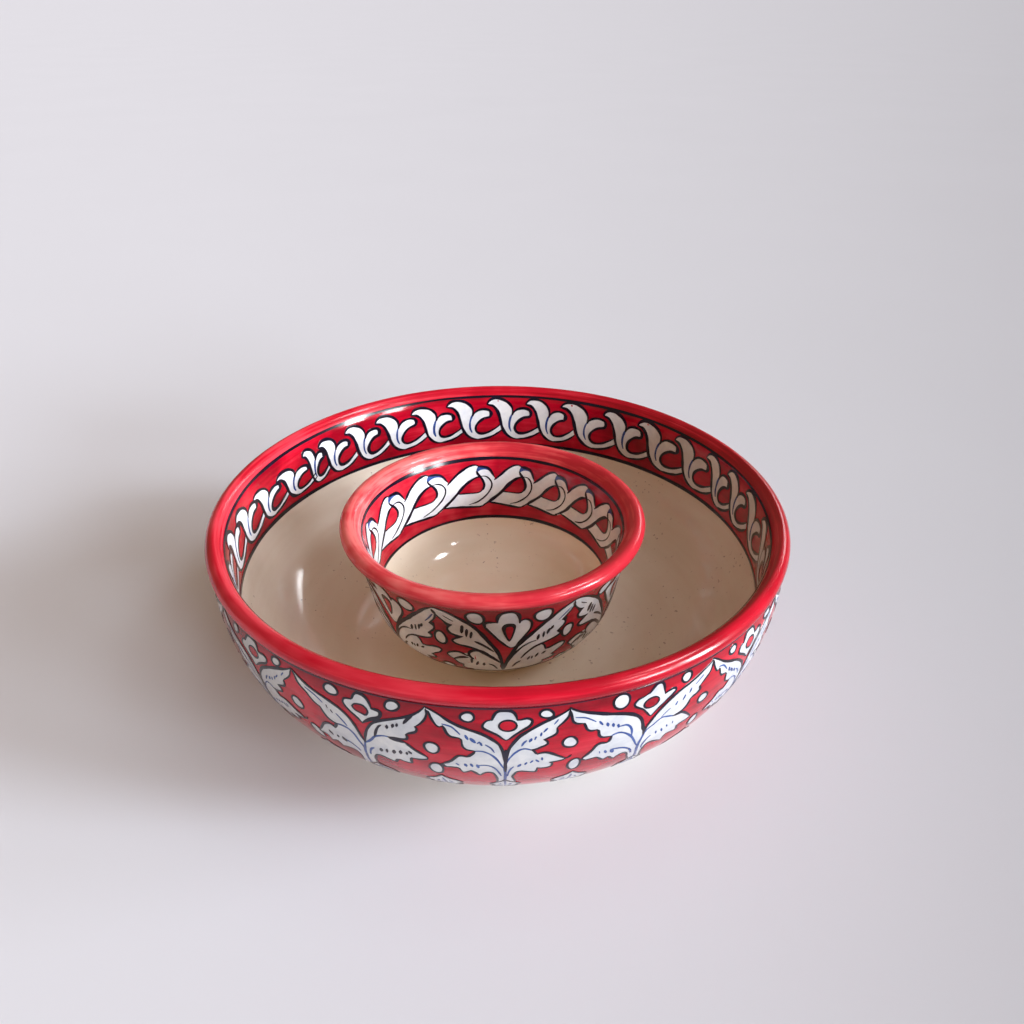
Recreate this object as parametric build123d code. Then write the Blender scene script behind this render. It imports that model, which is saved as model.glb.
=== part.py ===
from build123d import *
import os

# Chip and dip server: a large footed chip bowl with a small footed dip bowl
# standing loose on its floor.  Millimetres, +Z up, origin on the table under
# the middle of the chip bowl's foot ring.

# ---- chip bowl ----
CHIP_RIM_RADIUS = 150.0          # widest point of the rolled lip
CHIP_LIP_RADIUS = 4.5            # half thickness of the rolled lip
CHIP_LIP_HEIGHT = 102.0          # height of the middle of the lip
CHIP_NECK_RADIUS = 148.0         # crease under the lip, outside
CHIP_NECK_HEIGHT = 98.4
CHIP_INNER_RADIUS = 141.2        # inside wall just under the lip
CHIP_BAND_RADIUS = 138.4         # inside wall at the foot of the painted band
CHIP_BAND_HEIGHT = 65.5
CHIP_FLOOR_RADIUS = 80.0         # flat middle of the floor
CHIP_FLOOR_HEIGHT = 16.0         # top of the floor
CHIP_BASE_HEIGHT = 7.0           # underside of the base, = foot height
CHIP_FOOT_OUTER = 72.0
CHIP_FOOT_INNER = 63.0
CHIP_RECESS_HEIGHT = 5.5         # underside inside the foot ring

# ---- dip bowl ----
DIP_OFFSET = (-3.2, 0.0)         # it stands a little off the middle
DIP_RIM_RADIUS = 81.5
DIP_LIP_RADIUS = 4.4
DIP_LIP_HEIGHT = 94.6
DIP_NECK_RADIUS = 78.4
DIP_NECK_HEIGHT = 91.1
DIP_INNER_RADIUS = 70.6
DIP_INNER_HEIGHT = 92.8
DIP_BAND_RADIUS = 62.8
DIP_BAND_HEIGHT = 53.6
DIP_FLOOR_RADIUS = 26.0
DIP_FLOOR_HEIGHT = 30.5
DIP_BASE_HEIGHT = 24.0
DIP_FOOT_OUTER = 38.0
DIP_FOOT_INNER = 31.0
DIP_FOOT_HEIGHT = 16.0           # height of the foot's lower face: the chip floor
DIP_RECESS_HEIGHT = 22.5

FOOT_EDGE = 1.2                  # rounding of the foot rings


def chip_profile():
    """Half section of the chip bowl in the XZ plane, as one closed face."""
    lip_middle = CHIP_RIM_RADIUS - CHIP_LIP_RADIUS
    lip_top = (lip_middle, CHIP_LIP_HEIGHT + CHIP_LIP_RADIUS)
    neck = (CHIP_NECK_RADIUS, CHIP_NECK_HEIGHT)
    shoulder = (CHIP_FOOT_OUTER, CHIP_BASE_HEIGHT)
    inner_top = (CHIP_INNER_RADIUS, CHIP_LIP_HEIGHT)
    band = (CHIP_BAND_RADIUS, CHIP_BAND_HEIGHT)
    floor_edge = (CHIP_FLOOR_RADIUS, CHIP_FLOOR_HEIGHT)
    with BuildSketch(Plane.XZ) as section:
        with BuildLine():
            # underside: recess, foot ring
            Line((0, CHIP_RECESS_HEIGHT), (CHIP_FOOT_INNER, CHIP_RECESS_HEIGHT))
            FilletPolyline(
                (CHIP_FOOT_INNER, CHIP_RECESS_HEIGHT),
                (CHIP_FOOT_INNER, 0),
                (CHIP_FOOT_OUTER, 0),
                shoulder,
                radius=FOOT_EDGE,
            )
            # outer wall from the foot up to the crease under the lip
            Bezier(
                shoulder,
                (CHIP_FOOT_OUTER + 58.0, CHIP_BASE_HEIGHT),
                (CHIP_NECK_RADIUS + 4.7, CHIP_NECK_HEIGHT - 38.4),
                neck,
            )
            # rolled lip
            ThreePointArc(neck, (CHIP_RIM_RADIUS, CHIP_LIP_HEIGHT), lip_top)
            ThreePointArc(
                lip_top,
                (CHIP_INNER_RADIUS + 1.15, CHIP_LIP_HEIGHT + 3.1),
                inner_top,
            )
            # inner wall: painted band, then the curve down to the floor
            Line(inner_top, band)
            Bezier(
                band,
                (CHIP_BAND_RADIUS - 1.6, CHIP_BAND_HEIGHT - 20.0),
                (CHIP_FLOOR_RADIUS + 31.0, CHIP_FLOOR_HEIGHT),
                floor_edge,
            )
            Line(floor_edge, (0, CHIP_FLOOR_HEIGHT))
            Line((0, CHIP_FLOOR_HEIGHT), (0, CHIP_RECESS_HEIGHT))
        make_face()
    return section.sketch


def dip_profile():
    """Half section of the dip bowl in the XZ plane, as one closed face."""
    lip_middle = DIP_RIM_RADIUS - DIP_LIP_RADIUS
    lip_top = (lip_middle, DIP_LIP_HEIGHT + DIP_LIP_RADIUS)
    neck = (DIP_NECK_RADIUS, DIP_NECK_HEIGHT)
    shoulder = (DIP_FOOT_OUTER, DIP_BASE_HEIGHT)
    inner_top = (DIP_INNER_RADIUS, DIP_INNER_HEIGHT)
    band = (DIP_BAND_RADIUS, DIP_BAND_HEIGHT)
    floor_edge = (DIP_FLOOR_RADIUS, DIP_FLOOR_HEIGHT)
    with BuildSketch(Plane.XZ) as section:
        with BuildLine():
            # underside: recess, foot ring
            Line((0, DIP_RECESS_HEIGHT), (DIP_FOOT_INNER, DIP_RECESS_HEIGHT))
            FilletPolyline(
                (DIP_FOOT_INNER, DIP_RECESS_HEIGHT),
                (DIP_FOOT_INNER, DIP_FOOT_HEIGHT),
                (DIP_FOOT_OUTER, DIP_FOOT_HEIGHT),
                shoulder,
                radius=FOOT_EDGE,
            )
            # outer wall from the foot up to the crease under the lip
            Bezier(
                shoulder,
                (DIP_FOOT_OUTER + 40.0, DIP_BASE_HEIGHT + 16.0),
                (DIP_NECK_RADIUS - 16.5, DIP_NECK_HEIGHT - 30.6),
                neck,
            )
            # rolled lip, sloping inwards
            ThreePointArc(neck, (DIP_RIM_RADIUS, DIP_LIP_HEIGHT), lip_top)
            ThreePointArc(
                lip_top,
                (DIP_INNER_RADIUS + 2.6, DIP_LIP_HEIGHT + 2.6),
                inner_top,
            )
            # inner wall: painted band, then the curve down to the floor
            Bezier(
                inner_top,
                (DIP_INNER_RADIUS - 3.2, DIP_INNER_HEIGHT - 14.0),
                (DIP_BAND_RADIUS + 2.2, DIP_BAND_HEIGHT + 13.0),
                band,
            )
            Bezier(
                band,
                (DIP_BAND_RADIUS - 1.9, DIP_BAND_HEIGHT - 11.0),
                (DIP_FLOOR_RADIUS + 27.0, DIP_FLOOR_HEIGHT),
                floor_edge,
            )
            Line(floor_edge, (0, DIP_FLOOR_HEIGHT))
            Line((0, DIP_FLOOR_HEIGHT), (0, DIP_RECESS_HEIGHT))
        make_face()
    return section.sketch


def turned(profile):
    """One thrown bowl: its half section turned once about Z."""
    return revolve(profile, axis=Axis.Z, revolution_arc=360)


chip_bowl = turned(chip_profile())
dip_bowl = Pos(DIP_OFFSET[0], DIP_OFFSET[1], 0) * turned(dip_profile())

os.makedirs("parts", exist_ok=True)
for name, shape in (("chip_bowl", chip_bowl), ("dip_bowl", dip_bowl)):
    shape.label = name
    export_step(shape, "parts/" + name + ".step")
    box = shape.bounding_box()
    print(name, "volume", round(shape.volume / 1000.0, 1), "cm3", box.size)
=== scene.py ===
import math

import bpy
import numpy as np
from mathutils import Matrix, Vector
from mathutils.geometry import delaunay_2d_cdt


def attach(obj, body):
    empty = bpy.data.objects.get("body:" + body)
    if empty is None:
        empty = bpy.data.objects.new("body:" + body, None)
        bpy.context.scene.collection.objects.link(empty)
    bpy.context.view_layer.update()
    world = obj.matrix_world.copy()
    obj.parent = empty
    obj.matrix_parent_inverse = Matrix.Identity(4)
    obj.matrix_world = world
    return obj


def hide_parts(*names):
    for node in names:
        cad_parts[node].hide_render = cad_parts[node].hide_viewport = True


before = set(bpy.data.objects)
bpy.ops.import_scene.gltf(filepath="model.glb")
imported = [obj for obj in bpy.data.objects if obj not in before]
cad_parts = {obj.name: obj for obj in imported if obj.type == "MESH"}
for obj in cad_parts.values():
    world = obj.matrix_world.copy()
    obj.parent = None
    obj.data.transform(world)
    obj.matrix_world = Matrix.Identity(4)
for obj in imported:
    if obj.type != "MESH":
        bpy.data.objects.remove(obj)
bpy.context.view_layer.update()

MM = 0.001
DIP_X = -3.2  # mm, the dip bowl's axis
CHIP_TOP, DIP_TOP = 106.5, 99  # mm, the highest points of the lips
CHIP_FOOT_LINE, DIP_FOOT_LINE = 86.0, 58.4  # mm down the outer wall, where the red stops

# heights off the wall, mm
WHITE_LIFT, RED_LIFT, BLUE_LIFT, NAVY_LIFT, LINE_LIFT = 0.08, 0.12, 0.14, 0.18, 0.2
PAINT_DEPTH = 0.10  # how far a film reaches into the wall
OVERLAP_STEP = 0.012  # between neighbouring units of one film


# ---- profiles (mm: radius, height)

def curve4(a, b, c, d, count):
    """Points along a cubic Bezier."""
    t = np.linspace(0, 1, count)[:, None]
    a, b, c, d = (np.array(p, float) for p in (a, b, c, d))
    return a * (1 - t) ** 3 + 3 * b * (1 - t) ** 2 * t + 3 * c * (1 - t) * t**2 + d * t**3


def arc3(a, b, c, count):
    """Points along the arc from a to c through b."""
    (ax, ay), (bx, by), (cx, cy) = a, b, c
    d = 2 * (ax * (by - cy) + bx * (cy - ay) + cx * (ay - by))
    a2, b2, c2 = ax * ax + ay * ay, bx * bx + by * by, cx * cx + cy * cy
    ox = (a2 * (by - cy) + b2 * (cy - ay) + c2 * (ay - by)) / d
    oy = (a2 * (cx - bx) + b2 * (ax - cx) + c2 * (bx - ax)) / d
    r = math.hypot(ax - ox, ay - oy)
    t0, t2 = (math.atan2(y - oy, x - ox) for x, y in (a, c))
    turn = 1 if (bx - ax) * (cy - ay) - (by - ay) * (cx - ax) > 0 else -1
    sweep = ((t2 - t0) * turn) % (2 * math.pi) * turn
    t = t0 + np.linspace(0, 1, count) * sweep
    return np.stack([ox + r * np.cos(t), oy + r * np.sin(t)], 1)


def line(a, b, count):
    return np.linspace(np.array(a, float), np.array(b, float), count)


# each lip: crease under it, widest point, top, inner slope, top of the inner wall
CHIP_LIP = ((148, 98.4), (150, 102), (145.5, 106.5), (143.0, 104.75), (141.2, 102))
DIP_LIP = ((78.4, 91.1), (81.5, 94.6), (77.1, 99), (73.2, 97.2), (70.6, 92.8))
CHIP_FLARE_FOOT = (139.25, 92.5)  # below this the painted band is straight
CHIP_BAND_FOOT, DIP_BAND_FOOT = (138.4, 65.5), (62.8, 53.6)

CHIP_OUT = curve4(CHIP_LIP[0], (152.7, 60), (130, 7), (72, 7), 90)
CHIP_BAND = np.concatenate([curve4(CHIP_LIP[4], (140.05, 99.5), (139.5, 96.9), CHIP_FLARE_FOOT, 14),
                            line(CHIP_FLARE_FOOT, CHIP_BAND_FOOT, 20)[1:]])
CHIP_FLOOR = curve4(CHIP_BAND_FOOT, (136.8, 45.5), (111, 16), (80, 16), 50)
DIP_OUT = curve4(DIP_LIP[0], (61.9, 60.5), (78, 40), (38, 24), 60)
DIP_BAND = curve4(DIP_LIP[4], (67.9, 86.5), (65.4, 68), DIP_BAND_FOOT, 30)
DIP_FLOOR = curve4(DIP_BAND_FOOT, (60.9, 42.6), (53, 30.5), (26, 30.5), 36)


def wobble(theta, z, top):
    """How far a hand-thrown wall strays from round, in mm: (radius, height). It never adds to the size."""
    up = np.clip(z / top, 0, 1)
    r = -0.16 * (1 + np.sin(3 * theta + 0.6)) - 0.10 * (1 + np.sin(5 * theta + 2.1 + 2 * up))
    h = -0.30 * (1 + np.sin(2 * theta + 1.2)) - 0.12 * (1 + np.sin(5 * theta + 0.4))
    return r * up, h * up**3


class Wall:
    """A wall's painted side. s is mm down its profile from the top, x is mm round it at the reference radius.
    front is the angle of x = 0 in degrees, turn is the way x goes round."""

    def __init__(self, profile, centre, top, ref, front, turn, outward):
        self.profile, self.centre, self.top = profile, centre, top
        self.ref, self.front, self.turn, self.outward = ref, math.radians(front), turn, outward
        step = np.hypot(*np.diff(profile, axis=0).T)
        self.s = np.concatenate([[0], np.cumsum(step)])
        self.length = self.s[-1]
        grad = np.gradient(profile, self.s, axis=0)
        self.dir = grad / np.hypot(*grad.T)[:, None]

    def theta(self, x):
        return self.front + self.turn * np.asarray(x) / self.ref

    def place(self, x, s, h):
        """Points in metres at h mm off the wall, and the wall's normals there."""
        th = self.theta(x)
        s = np.clip(s, 0, self.length)
        r, z = (np.interp(s, self.s, self.profile[:, i]) for i in (0, 1))
        dr, dz = (np.interp(s, self.s, self.dir[:, i]) for i in (0, 1))
        nr, nz = (-dz, dr) if self.outward else (dz, -dr)
        wr, wz = wobble(th, z, self.top)
        r, z = r + wr + nr * h, z + wz + nz * h
        cos, sin = np.cos(th), np.sin(th)
        points = np.stack([self.centre + r * cos, r * sin, z], 1) * MM
        normals = np.stack([nr * cos, nr * sin, nz], 1)
        return points, normals / np.linalg.norm(normals, axis=1)[:, None]


CHIP_OUTER = Wall(CHIP_OUT, 0, CHIP_TOP, 148, -88.5, 1, True)
CHIP_INNER = Wall(CHIP_BAND, 0, CHIP_TOP, 140, 90, -1, False)
DIP_OUTER = Wall(DIP_OUT, DIP_X, DIP_TOP, 74, -84.7, 1, True)
DIP_INNER = Wall(DIP_BAND, DIP_X, DIP_TOP, 67, 90, -1, False)


# ---- meshes

def place(name, data):
    obj = bpy.data.objects.new(name, data)
    bpy.context.scene.collection.objects.link(obj)
    return obj


def make_object(name, verts, faces, materials, body, index=None, normals=None):
    mesh = bpy.data.meshes.new(name)
    mesh.from_pydata(verts.tolist(), [], faces)
    for m in materials:
        mesh.materials.append(m)
    if index is not None:
        mesh.polygons.foreach_set("material_index", index)
    mesh.polygons.foreach_set("use_smooth", [True] * len(mesh.polygons))
    if normals is not None:
        mesh.normals_split_custom_set_from_vertices(normals.tolist())
    mesh.update()
    obj = place(name, mesh)
    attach(obj, body)
    return obj


def turned(name, zones, centre, top, around, materials, body):
    """A closed body turned from zones of (profile points, material number), from the middle of the base
    up the outside, over the lip and down to the middle of the floor."""
    rows, mats = [], []
    for points, m in zones:
        fresh = points[1:] if rows else points
        rows += list(fresh)
        mats += [m] * len(fresh)
    rows = np.array(rows)
    inner = rows[1:-1]
    n = len(inner)
    th = np.arange(around) * 2 * math.pi / around
    rr, tt = inner[:, 0][:, None], th[None, :]
    zz = np.repeat(inner[:, 1][:, None], around, 1)
    wr, wz = wobble(tt, zz, top)
    rr, zz = rr + wr * np.clip(rr / 60, 0, 1), zz + wz  # the middle of the floor stays round
    verts = np.stack([centre + rr * np.cos(tt), rr * np.sin(tt), zz], 2).reshape(-1, 3)
    ends = np.array([[centre, 0, rows[0][1]], [centre, 0, rows[-1][1]]])
    verts = np.concatenate([verts, ends]) * MM
    low, high = n * around, n * around + 1
    sides = [(j, (j + 1) % around) for j in range(around)]
    faces = [(low, k, j) for j, k in sides]
    for a in range(0, (n - 1) * around, around):
        b = a + around
        faces += [(a + j, a + k, b + k, b + j) for j, k in sides]
    faces += [((n - 1) * around + j, (n - 1) * around + k, high) for j, k in sides]
    index = [m for m in [mats[1], *mats[2 : n + 1], mats[-1]] for _ in sides]
    return make_object(name, verts, faces, materials, body, index)


# ---- brush work

def path(*values):
    return np.array(values, float).reshape(-1, 2)


def smooth(points, step=0.7):
    """A Catmull-Rom curve through the points, at about one point a step."""
    p = np.asarray(points, float)
    if len(p) < 3:
        n = max(2, int(np.hypot(*(p[-1] - p[0])) / step) + 1)
        return np.linspace(p[0], p[-1], n)
    closed = np.allclose(p[0], p[-1])
    before = p[-2] if closed else 2 * p[0] - p[1]
    after = p[1] if closed else 2 * p[-1] - p[-2]
    q = np.concatenate([[before], p, [after]])
    out = []
    for i in range(1, len(q) - 2):
        a, b, c, d = q[i - 1 : i + 3]
        n = max(1, int(round(np.hypot(*(c - b)) / step)))
        t = (np.arange(n) / n)[:, None]
        m1, m2 = (c - a) / 2, (d - b) / 2
        limit = np.hypot(*(c - b))
        m1 *= min(1, limit / max(np.hypot(*m1), 1e-9))
        m2 *= min(1, limit / max(np.hypot(*m2), 1e-9))
        out.append((2 * t**3 - 3 * t**2 + 1) * b + (t**3 - 2 * t**2 + t) * m1
                   + (3 * t**2 - 2 * t**3) * c + (t**3 - t**2) * m2)
    out.append(p[-1:])
    return np.concatenate(out)


def ribbon(points, width, rng, start=0.5, end=0.4):
    """A brush stroke as quads: width in mm, thinning to those shares of it at its ends."""
    c = smooth(points, 0.8)
    if len(c) < 2:
        return []
    closed = np.allclose(c[0], c[-1]) and len(c) > 4
    d = np.gradient(c, axis=0)
    if closed:
        d[0] = d[-1] = c[1] - c[-2]
    d /= np.maximum(np.hypot(*d.T), 1e-9)[:, None]
    side = np.stack([-d[:, 1], d[:, 0]], 1)
    run = np.concatenate([[0], np.cumsum(np.hypot(*np.diff(c, axis=0).T))])
    t = run / run[-1]
    w = np.full(len(c), float(width))
    if not closed:
        w *= np.interp(t, [0, 0.12, 0.45, 0.8, 1], [start, 0.9, 1.0, 0.9, end])
    a, b = rng.uniform(0, 6.28, 2)
    w *= 1 + 0.10 * np.sin(run / 2.3 + a) + 0.07 * np.sin(run / 1.1 + b)
    left, right = c + side * w[:, None] / 2, c - side * w[:, None] / 2
    quads = [np.array([left[i], right[i], right[i + 1], left[i + 1]]) for i in range(len(c) - 1)]
    if not closed:
        for j, sign in ((0, -1), (-1, 1)):
            cap = [left[j] * (1 - u) + right[j] * u + sign * d[j] * w[j] / 2 * math.sin(math.pi * u)
                   for u in np.linspace(0, 1, 6)]
            quads.append(np.array(cap))
    return quads


def oval(cx, cs, rx, rs, tilt=0.0, lumps=0.0, phase=0.0, count=22):
    t = np.linspace(0, 2 * math.pi, count + 1)
    k = 1 + lumps * np.sin(2 * t + phase) + lumps * 0.6 * np.sin(3 * t + 2 * phase)
    x, s = rx * np.cos(t) * k, rs * np.sin(t) * k
    ca, sa = math.cos(tilt), math.sin(tilt)
    out = np.stack([cx + x * ca - s * sa, cs + x * sa + s * ca], 1)
    out[-1] = out[0]
    return out


def span(poly):
    """Twice the signed area of a closed outline."""
    x, y = poly[:, 0], poly[:, 1]
    return np.dot(x, np.roll(y, -1)) - np.dot(y, np.roll(x, -1))


def ccw(poly):
    return poly if span(poly) > 0 else poly[::-1]


SPILL = 1.3  # times the outlines' own area: more than that is a triangulation gone wrong


def cover(polygons, grid):
    """The union of closed polygons as (points, triangles), with inner points every grid mm."""
    points, loops = [], []
    for poly in polygons:
        poly = ccw(np.asarray(poly, float))
        if np.allclose(poly[0], poly[-1]):
            poly = poly[:-1]
        loops.append(list(range(len(points), len(points) + len(poly))))
        points.extend(poly.tolist())
    if grid:
        box = np.array(points)
        lo, hi = box.min(0), box.max(0)
        for i, x in enumerate(np.arange(lo[0] + grid / 2, hi[0], grid)):
            for s in np.arange(lo[1] + grid * (0.25 + 0.5 * (i % 2)), hi[1], grid):
                if np.abs(box - (x, s)).sum(1).min() > grid * 0.35:
                    points.append([x, s])
    verts, _, tris, _, _, origin = delaunay_2d_cdt(points, [], loops, 0, 1e-4, True)
    flat = np.array([tuple(v) for v in verts])
    tris = [t for t, o in zip(tris, origin) if o]
    placed = np.array(points)
    most = SPILL * sum(abs(span(placed[loop])) for loop in loops)
    a, b, c = (flat[[t[i] for t in tris]] for i in range(3))
    filled = np.abs((b - a)[:, 0] * (c - a)[:, 1] - (b - a)[:, 1] * (c - a)[:, 0]).sum()
    if len(polygons) > 1 and filled > most:
        # the outlines crossed in a way the triangulation can't follow: take them in two halves
        half = len(polygons) // 2
        flat, tris = cover(polygons[:half], grid)
        more, extra = cover(polygons[half:], grid)
        tris = tris + [tuple(i + len(flat) for i in t) for t in extra]
        flat = np.concatenate([flat, more])
    return flat, tris


def film(name, wall, units, body, material, height, grid):
    """A closed film of paint. Each unit is (x offset in mm, list of closed polygons)."""
    verts, normals, faces, base = [], [], [], 0
    for number, (offset, polygons) in enumerate(units):
        if not polygons:
            continue
        flat, tris = cover(polygons, grid)
        used = sorted({i for t in tris for i in t})
        renumber = {old: new for new, old in enumerate(used)}
        flat = flat[used]
        tris = [tuple(renumber[i] for i in t) for t in tris]
        lift = height + OVERLAP_STEP * (number % 2) + (2 * OVERLAP_STEP if number == len(units) - 1 else 0)
        x = flat[:, 0] + offset
        up, n = wall.place(x, flat[:, 1], lift)
        down, _ = wall.place(x, flat[:, 1], -PAINT_DEPTH)
        count = len(flat)
        verts += [up, down]
        normals += [n, n]
        mirrored = (wall.turn > 0) != wall.outward
        top = [t[::-1] if not mirrored else t for t in tris]
        edges = dict.fromkeys((a, b) for t in top for a, b in zip(t, t[1:] + t[:1]))
        for t in top:
            faces.append(tuple(i + base for i in t))
            faces.append(tuple(i + base + count for i in t[::-1]))
        for a, b in edges:
            if (b, a) not in edges:
                faces.append((a + base, a + base + count, b + base + count, b + base))
        base += 2 * count
    return make_object(name, np.concatenate(verts), faces, [material], body, None, np.concatenate(normals))


def lead(wall, s, width, rng, amp, uneven):
    """The line a loaded brush leaves on a turning bowl: x, middle and width, in mm."""
    round_ = 2 * math.pi * wall.ref
    n = int(round_ / 3)
    x = np.linspace(0, round_, n + 1)
    a, b, c = rng.uniform(0, 6.28, 3)
    t = x / wall.ref
    mid = s + amp * (np.sin(2 * t + a) + 0.5 * np.sin(5 * t + b)) / 1.5
    swell = 0.18 * np.sin(3 * t + c) + 0.12 * np.sin(11 * t + a) + 0.08 * np.sin(23 * t + b)
    w = width * np.maximum(1 + uneven * swell, 0.25)
    w[-1], mid[-1] = w[0], mid[0]
    return x, mid, w


def ring(name, wall, s, width, body, material, rng, amp=0.25, uneven=1.0):
    """A closed painted ring."""
    x, mid, w = lead(wall, s, width, rng, amp, uneven)
    x, mid, w = x[:-1], mid[:-1], w[:-1]
    n = len(x)
    a, b = mid - w / 2, mid + w / 2
    rows = [(a, LINE_LIFT), (b, LINE_LIFT), (b, -PAINT_DEPTH), (a, -PAINT_DEPTH)]
    verts, normals = zip(*(wall.place(x, s_, h) for s_, h in rows))
    faces = []
    flip = (wall.turn > 0) != wall.outward
    for i in range(4):
        for j in range(n):
            k = (j + 1) % n
            a, b = i, (i + 1) % 4
            f = (a * n + j, a * n + k, b * n + k, b * n + j)
            faces.append(f if flip else f[::-1])
    return make_object(name, np.concatenate(verts), faces, [material], body, None, np.concatenate(normals))


# ---- materials

def srgb(r, g, b):
    """Screen colour 0..255 to a linear colour."""
    c = [v / 255 for v in (r, g, b)]
    return tuple(v / 12.92 if v <= 0.04045 else ((v + 0.055) / 1.055) ** 2.4 for v in c) + (1.0,)


class Nodes:
    """A material's node tree, with the few kinds of node used here."""

    def __init__(self, name):
        self.material = bpy.data.materials.new(name)
        self.material.use_nodes = True
        self.tree = self.material.node_tree
        self.shader = self.tree.nodes["Principled BSDF"]
        self.coords = self.tree.nodes.new("ShaderNodeTexCoord").outputs["Object"]

    def link(self, a, b):
        if hasattr(a, "is_linked"):
            self.tree.links.new(a, b)
        else:
            b.default_value = a

    def node(self, kind, inputs):
        """A new node, with a value or a link for each of its inputs by name or number."""
        n = self.tree.nodes.new("ShaderNode" + kind)
        for key, value in inputs.items():
            self.link(value, n.inputs[key])
        return n

    def math(self, op, a, b=0.0):
        n = self.node("Math", {0: a, 1: b})
        n.operation = op
        return n.outputs[0]

    def add(self, a, b):
        return self.math("ADD", a, b)

    def sub(self, a, b):
        return self.math("SUBTRACT", a, b)

    def mul(self, a, b):
        return self.math("MULTIPLY", a, b)

    def at_least(self, a, b):
        return self.math("MAXIMUM", a, b)

    def combine(self, x, y, z):
        return self.node("CombineXYZ", {0: x, 1: y, 2: z}).outputs[0]

    def split(self, vector):
        return self.node("SeparateXYZ", {0: vector}).outputs

    def noise(self, vector, scale, detail=3.0, rough=0.5, distort=0.0):
        n = self.node("TexNoise", {"Vector": vector, "Scale": scale, "Detail": detail, "Roughness": rough,
                                   "Distortion": distort})
        return n.outputs["Fac"]

    def ramp(self, value, *stops):
        n = self.node("ValToRGB", {"Fac": value})
        band = n.color_ramp
        while len(band.elements) < len(stops):
            band.elements.new(0.5)
        for e, (at, colour) in zip(band.elements, stops):
            e.position, e.color = at, colour
        return n.outputs["Color"]

    def mix(self, fac, a, b, kind="MIX"):
        n = self.tree.nodes.new("ShaderNodeMix")
        n.data_type, n.blend_type = "RGBA", kind
        self.link(fac, n.inputs["Factor"])
        self.link(a, n.inputs[6])
        self.link(b, n.inputs[7])
        return n.outputs[2]

    def around(self, centre):
        """(cos, sin, radius, height) round a bowl's axis, metres."""
        x, y, z = self.split(self.coords)
        x = self.sub(x, centre * MM)
        r = self.math("SQRT", self.add(self.mul(x, x), self.mul(y, y)))
        r = self.at_least(r, 0.001)
        return self.math("DIVIDE", x, r), self.math("DIVIDE", y, r), r, z

    def swept(self, centre, across, along):
        """A coordinate stretched round the bowl, as a brush on a turning wheel leaves it."""
        cos, sin, r, z = self.around(centre)
        up = self.add(z, self.mul(r, 0.6))
        return self.combine(self.mul(cos, along), self.mul(sin, along),
                            self.mul(up, across))

    def bump(self, value, strength, distance):
        n = self.node("Bump", {"Strength": strength, "Distance": distance, "Height": value})
        self.link(n.outputs[0], self.shader.inputs["Normal"])

    def finish(self, colour, roughness, level=0.5):
        """Sets the surface and gives the material."""
        for key, value in (("Base Color", colour), ("Roughness", roughness), ("Specular IOR Level", level)):
            self.link(value, self.shader.inputs[key])
        return self.material


def red_glaze(name, centre, deep, mid, light, shade, painted_side_light, brush=0.24, roughness=0.11, relief=0.25):
    """deep, mid and light are screen colours; shade is painted shade in the crease under the lip: (radius in
    mm it starts at, height it starts at, height it is full at, how dark); the argument after it is painted
    light and
    shade from side to side: (how much paler it is painted on the left, how much deeper on the right)."""
    n = Nodes(name)
    streak = n.noise(n.swept(centre, 420, 2.0), 1.0, 3.0, 0.65)
    broad = n.noise(n.swept(centre, 60, 5.0), 1.0, 2.0, 0.5)
    blotch = n.noise(n.coords, 28.0, 3.0, 0.55, 0.6)
    tone = n.add(n.mul(streak, brush), n.mul(broad, 0.30))
    tone = n.add(tone, n.mul(blotch, 0.70 - brush))
    side, _, r, z = n.around(centre)
    # painted light and shade: the tone is raised on the left of the bowl and lowered on the right, by the two
    # given amounts
    tone = n.add(tone, n.mul(n.at_least(n.mul(side, -1.0), 0.0), painted_side_light[0]))
    tone = n.sub(tone, n.mul(n.at_least(side, 0.0), painted_side_light[1]))
    colour = n.ramp(tone, (0.40, srgb(*deep)), (0.51, srgb(*mid)), (0.64, srgb(*light)))
    # painted shade: the red darkens towards the crease under the lip, outside the given radius
    start, low, full, dark = shade
    crease_shade = n.math("DIVIDE", n.sub(z, low * MM), (full - low) * MM)
    crease_shade = n.at_least(n.math("MINIMUM", crease_shade, 1.0), 0.0)
    crease_shade = n.mul(crease_shade, n.math("GREATER_THAN", r, start * MM))
    keep = n.sub(1.0, n.mul(crease_shade, dark))
    colour = n.mix(1.0, colour, n.combine(keep, n.math("POWER", keep, 1.6), keep), "MULTIPLY")
    n.bump(n.noise(n.swept(centre, 90, 3.0), 1.0, 2.0), relief, 0.0004)
    return n.finish(colour, roughness, 0.32)


BLACK, PLAIN = (0, 0, 0, 1), (1, 1, 1, 1)


def cream_glaze(name, centre, light, dark):
    n = Nodes(name)
    soft = n.noise(n.coords, 14.0, 4.0, 0.6, 0.4)
    rings = n.noise(n.swept(centre, 120, 1.2), 1.0, 3.0, 0.55)
    tone = n.add(n.mul(soft, 0.6), n.mul(rings, 0.4))
    base = n.ramp(tone, (0.35, srgb(*dark)), (0.68, srgb(*light)))
    fleck = n.noise(n.coords, 420.0, 2.0, 0.5)
    spots = n.ramp(fleck, (0.67, BLACK), (0.73, PLAIN))
    patch = n.ramp(n.noise(n.coords, 34.0, 1.0), (0.50, BLACK), (0.66, PLAIN))
    colour = n.mix(n.mul(n.mul(spots, patch), 0.7), base, srgb(128, 84, 58))
    n.bump(n.noise(n.swept(centre, 60, 2.0), 1.0, 2.0), 0.22, 0.0004)
    return n.finish(colour, 0.10)


def paint(name, light, dark, scale, level=0.5):
    n = Nodes(name)
    wash = n.noise(n.coords, scale, 3.0, 0.6, 0.8)
    fine = n.noise(n.coords, scale * 6, 2.0, 0.6)
    tone = n.add(n.mul(wash, 0.7), n.mul(fine, 0.3))
    n.bump(wash, 0.12, 0.0003)
    return n.finish(n.ramp(tone, (0.34, srgb(*dark)), (0.64, srgb(*light))), 0.18, level)


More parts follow.
